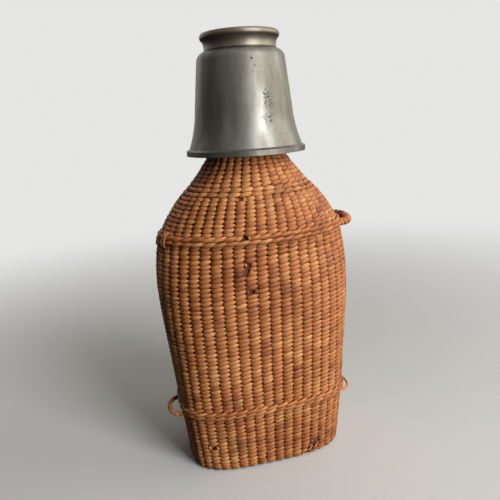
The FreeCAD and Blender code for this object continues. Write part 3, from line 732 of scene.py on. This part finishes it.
BASE_RINGS = 9
BASE_INSET = 0.0032
BASE_STROKE = 0.0064
BASE_SHADE = 0.8
laid = []
for ring_number in range(BASE_RINGS):
    inset = BASE_INSET + ring_number * ROW_PITCH
    girth = wall_ring(0.0)[2] - 2 * math.pi * inset
    columns = max(8, round(girth / BASE_STROKE))
    for column in range(columns):
        share = (column + 0.5) / columns
        here = outline_point(0.0, share)
        ahead = outline_point(0.0, share + EDGE_SHARE)
        along_edge = (ahead - outline_point(0.0, share - EDGE_SHARE)).normalized()
        inward = Vector((-along_edge.y, along_edge.x, 0.0))
        base = here + inward * inset
        base.z = STITCH_THICKNESS * 0.5 + 0.0001
        down = Vector((0, 0, -1))
        size = (girth / columns * 1.15, ROW_PITCH * 1.1, STITCH_THICKNESS)
        spot = strand_place(base, -along_edge, inward, down, *size, STITCH_SLANT)
        laid.append((spot, strand_tone(here) * BASE_SHADE))
base_weave = lay_strands("base_weave", stitch, laid, weave_material)
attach(base_weave, "flask")
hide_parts("woven_cover")

# Merge rows
# Two rows of long stitches where the body's stakes run together in pairs into those of the throat
# They are the same willow strands, pointed at both ends because each passes over two stakes


def lens_width(x):
    """Pointed at both ends."""
    return 0.5 * max(1 - (abs(x) / 0.5) ** 2.2, 0.0) ** 0.8


def lens_lift(x):
    """Arch that falls alike to both ends."""
    return -0.55 * (abs(x) / 0.5) ** 2


long_stitch = stitch_shape("long_stitch", lens_width, lens_lift)
MERGE_SIZES = (1.36, 0.0029, STITCH_THICKNESS)
MERGE_SLANT = (math.radians(10), 0.04)
MERGE_INSET = 0.0008
# Rise over the merge height and start of each row, in columns
MERGE_STARTS = ((0.0, 0.5), (0.0023, 0.62))
laid = []
for rise, start in MERGE_STARTS:
    lay_row(laid, MERGE_HEIGHT + rise, THROAT_COLUMNS, start, MERGE_SIZES, MERGE_SLANT, MERGE_INSET)
merge_rows = lay_strands("merge_rows", long_stitch, laid, weave_material)
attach(merge_rows, "flask")
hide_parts("woven_cover")

# Bare stake and broken ends
# At the lower right a stake's flat face shows over several rows, smooth and orange
# Below it the weave has burst open and pale split ends stand out of the hole

# Place on X, height, length and width
BARE_STAKE = (0.0315, 0.0160, 0.0190, 0.0030)
STAKE_THICKNESS = 0.0016
STAKE_INSET = 0.0006
STAKE_TURN = math.radians(87)
STAKE_TONE = 0.62
# Place on X, height, length, turn in degrees and tone
SPLIT_ENDS = (
    (0.0222, 0.0040, 0.0050, 38.0, 0.90),
    (0.0262, 0.0050, 0.0046, 62.0, 0.95),
    (0.0248, 0.0014, 0.0070, 8.0, 0.80),
    (-0.0118, 0.1262, 0.0020, 50.0, 0.85),
    (-0.0094, 0.1224, 0.0026, 30.0, 0.95),
    (-0.0106, 0.1606, 0.0020, 20.0, 0.95),
)
SPLIT_WIDTH = 0.0011
SPLIT_THICKNESS = 0.0009
SPLIT_INSET = 0.0004


def front_share(x, height):
    """Share of the girth at which the front of the wall passes a place on X."""
    shares = [step / 400 for step in range(-90, 91)]
    return min(shares, key=lambda share: abs(outline_point(height, share).x - x))


x, height, length, width = BARE_STAKE
here, right, up, out = wall_frame(height, front_share(x, height))
base = here - out * STAKE_INSET
stake = strand_place(base, right, up, out, length, width, STAKE_THICKNESS, STAKE_TURN)
laid = [(stake, STAKE_TONE)]
for x, height, length, turn, tone in SPLIT_ENDS:
    here, right, up, out = wall_frame(height, front_share(x, height))
    base = here - out * SPLIT_INSET
    spot = strand_place(base, right, up, out, length, SPLIT_WIDTH, SPLIT_THICKNESS, math.radians(turn))
    laid.append((spot, tone))
loose_ends = lay_strands("stake_and_split_ends", long_stitch, laid, weave_material)
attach(loose_ends, "flask")
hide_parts("woven_cover")

# Waled bands
# Two rows of three-strand rope round the flask, above the base and under the shoulder
# Their cane is thicker than the weave's, and each stroke runs up to the right over its neighbour

ROPE_STROKES = 46
band_material = cane_material("waled_cane", 0.9, 0.0003)
ROPE_OVERLAP = 1.75
ROPE_SLANT = (math.radians(10), 0.03)
ROPE_PROUD = 0.0003
# Node, height, width and thickness of the strokes
BANDS = (
    ("upper_band_top_row", UPPER_BAND + 0.00130, 0.0026, 0.0021),
    ("upper_band_bottom_row", UPPER_BAND - 0.00130, 0.0026, 0.0021),
    ("lower_band_top_row", LOWER_BAND + 0.00112, 0.0022, 0.0020),
    ("lower_band_bottom_row", LOWER_BAND - 0.00112, 0.0022, 0.0020),
)
for node, height, width, thickness in BANDS:
    laid = []
    sizes = (ROPE_OVERLAP, width, thickness)
    lay_row(laid, height, ROPE_STROKES, random.random(), sizes, ROPE_SLANT, -ROPE_PROUD)
    row = lay_strands(node + "_strokes", long_stitch, laid, band_material)
    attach(row, "flask")
    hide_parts(node)

# Strap loops
# Each is a cane core bent into a half oval, wrapped with split cane, its ends tucked into the weave at a band
# The thin loop at the lower right has lost its wrapping and is one smooth strand

loop_material = cane_material("wrapped_cane", 0.7, 0.0003)
LOOP_ROOT = 0.0035
LOOP_STEPS = 28


def loop_path(node, rope, flatness, tilt, held_in):
    """Points along the middle of a loop, from end to end, placed by the box of its solid."""
    low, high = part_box(node)
    side = 1 if high.x > 0 else -1
    tip = (high.x if side > 0 else low.x) - side * (rope + held_in)
    middle = (low + high) / 2
    half_width = (high.y - low.y) / 2 - rope
    reach = half_width * flatness
    start = tip - side * reach
    points = []
    for step in range(LOOP_STEPS + 1):
        angle = math.pi * step / LOOP_STEPS
        y = -half_width * math.cos(angle)
        x = start + side * reach * math.sin(angle)
        points.append(Vector((x, middle.y + y, middle.z + y * math.tan(tilt))))
    for end, place in ((0, 0), (-1, len(points) + 1)):
        points.insert(place, points[end] - Vector((side * LOOP_ROOT, 0, 0)))
    return points


def bend_along(bm, points, upright):
    """Moves a straight rope, laid along X from 0, onto a path; its Z turns to upright."""
    reach = [0.0]
    for before, after in zip(points, points[1:]):
        reach.append(reach[-1] + (after - before).length)
    for vert in bm.verts:
        run = min(max(vert.co.x, 0.0), reach[-1] - 1e-7)
        place = min(bisect.bisect_right(reach, run) - 1, len(points) - 2)
        part = (run - reach[place]) / (reach[place + 1] - reach[place])
        before = (points[place + 1] - points[max(place - 1, 0)]).normalized()
        after = (points[min(place + 2, len(points) - 1)] - points[place]).normalized()
        tangent = before.lerp(after, part).normalized()
        sideways = upright.cross(tangent).normalized()
        centre = points[place].lerp(points[place + 1], part)
        vert.co = centre + sideways * vert.co.y + tangent.cross(sideways) * vert.co.z


def straight_core(length, half_wide, half_thick, look, steps):
    """Straight closed rod along X with an oval section; look gives across and tone at an angle."""
    bm = bmesh.new()
    strand_layer = bm.verts.layers.float_vector.new("strand")
    core = bmesh.ops.create_circle(bm, cap_ends=False, segments=10, radius=1.0)["verts"]
    for vert in core:
        angle = math.atan2(vert.co.y, vert.co.x)
        vert.co = Vector((0.0, math.cos(angle) * half_wide, math.sin(angle) * half_thick))
        across_there, tone_there = look(angle)
        vert[strand_layer] = (0.5, across_there, tone_there)
    edges = list(bm.edges)
    for step in range(steps):
        grown = bmesh.ops.extrude_edge_only(bm, edges=edges)["geom"]
        edges = [item for item in grown if isinstance(item, bmesh.types.BMEdge)]
        edges = [edge for edge in edges if edge.is_boundary]
        verts = [item for item in grown if isinstance(item, bmesh.types.BMVert)]
        bmesh.ops.translate(bm, verts=verts, vec=Vector((length / steps, 0, 0)))
    bmesh.ops.holes_fill(bm, edges=[edge for edge in bm.edges if edge.is_boundary])
    return bm, strand_layer


def path_length(points):
    """Length of a path through points."""
    return sum((after - before).length for before, after in zip(points, points[1:]))


def wind_strand(bm, strand_layer, length, rope, turns, wrap, painted_shade_from):
    """Winds a flat strand round the straight core as a helix of touching turns."""
    pitch = length / turns
    before = len(bm.verts)
    strand_ring = bmesh.ops.create_circle(bm, cap_ends=True, segments=8, radius=1.0)["verts"]
    for vert in strand_ring:
        angle = math.atan2(vert.co.y, vert.co.x)
        vert.co = Vector((math.cos(angle) * pitch * 0.52, 0.0, rope - wrap + math.sin(angle) * wrap))
        vert[strand_layer] = (0.5, math.cos(angle) * 0.95, 0.5)
    geometry = strand_ring + list({edge for vert in strand_ring for edge in vert.link_edges})
    geometry += list({face for vert in strand_ring for face in vert.link_faces})
    steps = 14 * turns
    bmesh.ops.spin(
        bm,
        geom=geometry,
        cent=Vector((0, 0, 0)),
        axis=Vector((1, 0, 0)),
        dvec=Vector((length / steps, 0, 0)),
        angle=2 * math.pi * turns,
        steps=steps,
        use_merge=False,
    )
    bm.verts.ensure_lookup_table()
    for vert in list(bm.verts)[before:]:
        turn = vert.co.x / pitch
        tone_there = 0.55 + 0.4 * noise.noise(Vector((turn * 0.9, rope * 900, 0.0)))
        # Past that share the wrapping is painted almost black: painted shade on the far leg of the loop
        if vert.co.x > painted_shade_from * length:
            vert[strand_layer] = (0.0, 1.0, 0.02)
        else:
            vert[strand_layer] = (0.55 + 0.3 * math.sin(turn * 2.1), vert[strand_layer].y, tone_there)


def painted_shade_core(angle):
    """Look of the core that a wrapping hides, painted almost black as shade wherever it shows."""
    return 1.0, 0.05


def bare_core(angle):
    """Look of a core without its wrapping, pale all round."""
    return 0.55 * math.cos(angle), 0.85


CORE_STEPS = 40
# Each loop: radius of its rope, reach over half width, rise towards the back in degrees, turns
# and thickness of its wrapping, how far its bend is held in from the farthest point of its solid,
# and the share of it before its far leg is painted black as shade
LOOPS = (
    ("upper_right_loop", 0.0024, 0.78, 8.5, 13, 0.00075, 0.0016, 0.56),
    ("lower_left_loop", 0.00135, 0.82, 14.0, 13, 0.00050, 0.0, 0.80),
    ("lower_right_loop", 0.0008, 0.67, 5.0, 0, 0.0, 0.0012, 1.0),
)
for node, rope, flatness, tilt, turns, wrap, held_in, painted_shade_from in LOOPS:
    points = loop_path(node, rope, flatness, math.radians(tilt), held_in)
    length = path_length(points)
    if turns:
        bm, strand_layer = straight_core(length, rope - wrap, rope - wrap, painted_shade_core, CORE_STEPS)
        wind_strand(bm, strand_layer, length, rope, turns, wrap, painted_shade_from)
    else:
        bm, strand_layer = straight_core(length, rope, rope, bare_core, CORE_STEPS)
    bend_along(bm, points, Vector((0, 0, 1)))
    loop = finish_mesh(bm, node + "_wrapping", loop_material)
    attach(loop, "flask")
    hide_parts(node)

# Lashing
# Three flat strands of split cane bound over the upper band, all that is left of the upper left loop
# They come out of the weave under the band and go in again above it

LASHING_LOW = UPPER_BAND - 0.0040
LASHING_HIGH = UPPER_BAND + 0.0042
LASHING_PROUD = 0.0015
LASHING_DEPTH = 0.0012
LASHING_HALF_THICK = 0.00045
# Place on Y, width and tone of each strand
LASHING_STRANDS = ((-0.0036, 0.0019, 0.45), (-0.0092, 0.0016, 0.60), (-0.0110, 0.0015, 0.70))
LASHING_STEPS = 24


def left_share(y, height):
    """Share of the girth at which the left end of the wall passes a place on Y."""
    shares = [0.70 + step / 1000 for step in range(0, 151)]
    return min(shares, key=lambda share: abs(outline_point(height, share).y - y))


def lashing_path(y):
    """Path of one strand: out of the weave, over the band and in again."""
    points = []
    share = left_share(y, UPPER_BAND)
    for step in range(LASHING_STEPS + 1):
        part = step / LASHING_STEPS
        bow = (2 * part - 1) ** 6
        height = LASHING_LOW + (LASHING_HIGH - LASHING_LOW) * part
        points.append(wall_point(height, share, -LASHING_PROUD + (LASHING_PROUD + LASHING_DEPTH) * bow))
    return points


def flat_strand(tone):
    """Look of a flat strand of one tone, darker at its edges with painted shade and dirt."""
    def look(angle):
        return 0.85 * math.cos(angle), tone
    return look


for number, (y, width, tone) in enumerate(LASHING_STRANDS, start=1):
    points = lashing_path(y)
    out = wall_frame(UPPER_BAND, left_share(y, UPPER_BAND))[3]
    length = path_length(points)
    bm, strand_layer = straight_core(length, width / 2, LASHING_HALF_THICK, flat_strand(tone), LASHING_STEPS)
    bend_along(bm, points, out)
    lashing = finish_mesh(bm, f"upper_left_lashing_{number}", loop_material)
    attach(lashing, "flask")
    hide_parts("upper_left_lashing")

# Neck border
# A plait of split cane that closes the weave round the neck, hidden under the cup, which rests on it
# It keeps the shape of its solid and gets the finish of dry cane

CANE_SHADOW = (0.17, 0.07, 0.032, 1.0)
CANE_LIGHT = (0.46, 0.23, 0.10, 1.0)
CANE_STAIN = (0.10, 0.04, 0.02, 1.0)

plain_cane, nodes, links, shader = new_material("split_cane")
tree = plain_cane.node_tree
place = nodes.new("ShaderNodeTexCoord").outputs["Object"]
stretch = nodes.new("ShaderNodeMapping")
stretch.inputs["Scale"].default_value = (900.0, 900.0, 120.0)
links.new(place, stretch.inputs["Vector"])
fibre = noise_value(tree, stretch.outputs["Vector"], 1.0, 3.0)
stains = put_group(nodes, stain_group)
cane_colour = blended(tree, "MIX", fibre, CANE_SHADOW, CANE_LIGHT)
cane_colour = blended(tree, "MIX", stains.outputs["Stain"], cane_colour, CANE_STAIN)
links.new(cane_colour, shader.inputs["Base Color"])
links.new(ranged(tree, fibre, 0.3, 0.7, 0.45, 0.7), shader.inputs["Roughness"])
bump = nodes.new("ShaderNodeBump")
bump.inputs["Strength"].default_value = 0.6
bump.inputs["Distance"].default_value = 0.0002
links.new(fibre, bump.inputs["Height"])
links.new(bump.outputs["Normal"], shader.inputs["Normal"])


def dress(node, material):
    """Gives every material slot of a CAD node one finish."""
    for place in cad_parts[node].material_slots:
        place.material = material


dress("neck_border", plain_cane)

# Glass bottle
# Blown in green glass with small seeds and an uneven wall, it fills the wicker from the floor to the neck
# Only its laid-on lip shows, when the cup is lifted

DEEP_GREEN = (0.42, 0.56, 0.40, 1.0)
PALE_GREEN = (0.55, 0.68, 0.50, 1.0)

glass_material, nodes, links, shader = new_material("green_bottle_glass")
tree = glass_material.node_tree
place = nodes.new("ShaderNodeTexCoord").outputs["Object"]
seeds = noise_value(tree, place, 90.0, 2.0)
tint = blended(tree, "MIX", seeds, DEEP_GREEN, PALE_GREEN)
links.new(tint, shader.inputs["Base Color"])
shader.inputs["Transmission Weight"].default_value = 0.9
shader.inputs["IOR"].default_value = 1.5
links.new(ranged(tree, seeds, 0.3, 0.7, 0.04, 0.10), shader.inputs["Roughness"])
bump = nodes.new("ShaderNodeBump")
bump.inputs["Strength"].default_value = 0.2
bump.inputs["Distance"].default_value = 0.0004
links.new(seeds, bump.inputs["Height"])
links.new(bump.outputs["Normal"], shader.inputs["Normal"])
dress("glass_bottle", glass_material)

# Cork
# A straight-sided stopper cut from bark, with dark pores and a rubbed top, pushed into the conical bore

DARK_PORE = (0.16, 0.08, 0.035, 1.0)
CORK_TAN = (0.50, 0.33, 0.18, 1.0)

cork_material, nodes, links, shader = new_material("bark_cork")
tree = cork_material.node_tree
place = nodes.new("ShaderNodeTexCoord").outputs["Object"]
pores = noise_value(tree, place, 700.0, 4.0, 0.7)
bark = blended(tree, "MIX", ranged(tree, pores, 0.42, 0.62), DARK_PORE, CORK_TAN)
links.new(bark, shader.inputs["Base Color"])
shader.inputs["Roughness"].default_value = 0.9
bump = nodes.new("ShaderNodeBump")
bump.inputs["Strength"].default_value = 0.6
bump.inputs["Distance"].default_value = 0.0004
links.new(pores, bump.inputs["Height"])
links.new(bump.outputs["Normal"], shader.inputs["Normal"])
dress("cork_stopper", cork_material)

# Pewter cup
# A drinking cup turned in pewter, upside down over the neck, with a foot ring soldered on at the dark line
# The metal has dulled to brown-grey, with cloudy tarnish, casting pits and fine scratches round it

PEWTER_BROWN = (0.165, 0.154, 0.131, 1.0)
PEWTER_GREY = (0.265, 0.265, 0.242, 1.0)
BLOTCH_BROWN = (0.17, 0.15, 0.12, 1.0)
FOOT_BROWN = (0.27, 0.215, 0.16, 1.0)
SOLDER_BLACK = (0.035, 0.028, 0.022, 1.0)
PIT_BLACK = (0.060, 0.053, 0.046, 1.0)
SCRATCH_BRIGHT = (0.60, 0.58, 0.52, 1.0)
SCRATCH_HALF = 0.00014
SCRATCHED_RADIUS = 0.0245

pewter_material, nodes, links, shader = new_material("dull_pewter")
tree = pewter_material.node_tree
place = nodes.new("ShaderNodeTexCoord").outputs["Object"]
upright = nodes.new("ShaderNodeMapping")
upright.inputs["Scale"].default_value = (95.0, 95.0, 22.0)
links.new(place, upright.inputs["Vector"])
cloud = noise_value(tree, upright.outputs["Vector"], 1.0, 4.0, 0.6)
blotch = noise_value(tree, place, 210.0, 3.0, 0.65)
turned = nodes.new("ShaderNodeMapping")
turned.inputs["Scale"].default_value = (60.0, 60.0, 2600.0)
links.new(place, turned.inputs["Vector"])
rings = noise_value(tree, turned.outputs["Vector"], 1.0, 3.0)
height_part = nodes.new("ShaderNodeSeparateXYZ")
links.new(place, height_part.inputs["Vector"])
cup_height = height_part.outputs["Z"]


def near(x, y, z, radius):
    """Mask that is 1 at a point of the cup and falls to 0 at a radius from it."""
    gap = nodes.new("ShaderNodeVectorMath")
    gap.operation = "DISTANCE"
    gap.inputs[1].default_value = (x, y, z)
    links.new(place, gap.inputs[0])
    return ranged(tree, gap.outputs["Value"], radius, radius * 0.55)


def on_cup(heading, radius):
    """Place on X and Y at a heading in degrees and a radius of the cup."""
    turn = math.radians(heading)
    return radius * math.cos(turn), radius * math.sin(turn)


# Single pits beside the highlight: heading, radius of the cup there, height and size
PITS = (
    (268.6, 0.0240, 0.2296, 0.00060),
    (272.1, 0.0242, 0.2262, 0.00050),
    (269.6, 0.0243, 0.2240, 0.00055),
    (268.4, 0.0243, 0.2232, 0.00065),
    (273.5, 0.0243, 0.2238, 0.00045),
    (277.0, 0.0243, 0.2236, 0.00050),
    (283.0, 0.0250, 0.2140, 0.00045),
    (286.0, 0.0255, 0.1985, 0.00060),
)
# Rough patches where the casting is full of small pits
PITTED_PATCHES = (
    (284.0, 0.0249, 0.2120, 0.0034),
    (284.5, 0.0252, 0.2070, 0.0040),
    (284.0, 0.0257, 0.2005, 0.0044),
)
stray = ranged(tree, noise_value(tree, place, 620.0, 2.0, 0.6), 0.72, 0.77)
pit = maths(tree, "MULTIPLY", stray, 0.7)
for heading, radius, height, size in PITS:
    x, y = on_cup(heading, radius)
    pit = maths(tree, "MAXIMUM", pit, near(x, y, height, size))
spots = ranged(tree, noise_value(tree, place, 1150.0, 2.0, 0.6), 0.54, 0.62)
for heading, radius, height, size in PITTED_PATCHES:
    x, y = on_cup(heading, radius)
    pit = maths(tree, "MAXIMUM", pit, maths(tree, "MULTIPLY", near(x, y, height, size), spots))


def scratch(height, heading, reach):
    """Bright line round part of the cup."""
    x, y = on_cup(heading, SCRATCHED_RADIUS)
    off = maths(tree, "ABSOLUTE", maths(tree, "SUBTRACT", cup_height, height))
    thin = ranged(tree, off, SCRATCH_HALF, 0.0)
    return maths(tree, "MULTIPLY", thin, near(x, y, height, reach))


high_scratch = scratch(0.2244, 276, 0.0045)
low_scratch = scratch(0.2168, 277, 0.0040)
scratches = maths(tree, "MAXIMUM", high_scratch, low_scratch)

tarnish = blended(tree, "MIX", ranged(tree, cloud, 0.32, 0.68), PEWTER_BROWN, PEWTER_GREY)
blotched = maths(tree, "MULTIPLY", ranged(tree, blotch, 0.5, 0.75), 0.35)
tarnish = blended(tree, "MIX", blotched, tarnish, BLOTCH_BROWN)
foot_zone = ranged(tree, cup_height, 0.2355, 0.2375)
tarnish = blended(tree, "MIX", maths(tree, "MULTIPLY", foot_zone, 0.55), tarnish, FOOT_BROWN)
solder_low = ranged(tree, cup_height, 0.2350, 0.2359)
solder_high = ranged(tree, cup_height, 0.2369, 0.2361)
solder = maths(tree, "MULTIPLY", solder_low, solder_high)
tarnish = blended(tree, "MIX", maths(tree, "MULTIPLY", solder, 0.85), tarnish, SOLDER_BLACK)
tarnish = blended(tree, "MIX", maths(tree, "MULTIPLY", pit, 0.75), tarnish, PIT_BLACK)
tarnish = blended(tree, "MIX", maths(tree, "MULTIPLY", scratches, 0.22), tarnish, SCRATCH_BRIGHT)
links.new(tarnish, shader.inputs["Base Color"])
shader.inputs["Metallic"].default_value = 0.95
rough = maths(tree, "ADD", ranged(tree, cloud, 0.3, 0.7, 0.50, 0.42), maths(tree, "MULTIPLY", pit, 0.4))
links.new(rough, shader.inputs["Roughness"])
relief = maths(tree, "SUBTRACT", maths(tree, "MULTIPLY", rings, 0.10), maths(tree, "MULTIPLY", pit, 1.2))
relief = maths(tree, "ADD", relief, maths(tree, "MULTIPLY", blotch, 0.22))
bump = nodes.new("ShaderNodeBump")
bump.inputs["Strength"].default_value = 0.35
bump.inputs["Distance"].default_value = 0.00025
links.new(relief, bump.inputs["Height"])
links.new(bump.outputs["Normal"], shader.inputs["Normal"])
dress("cup_bowl", pewter_material)
dress("cup_foot", pewter_material)
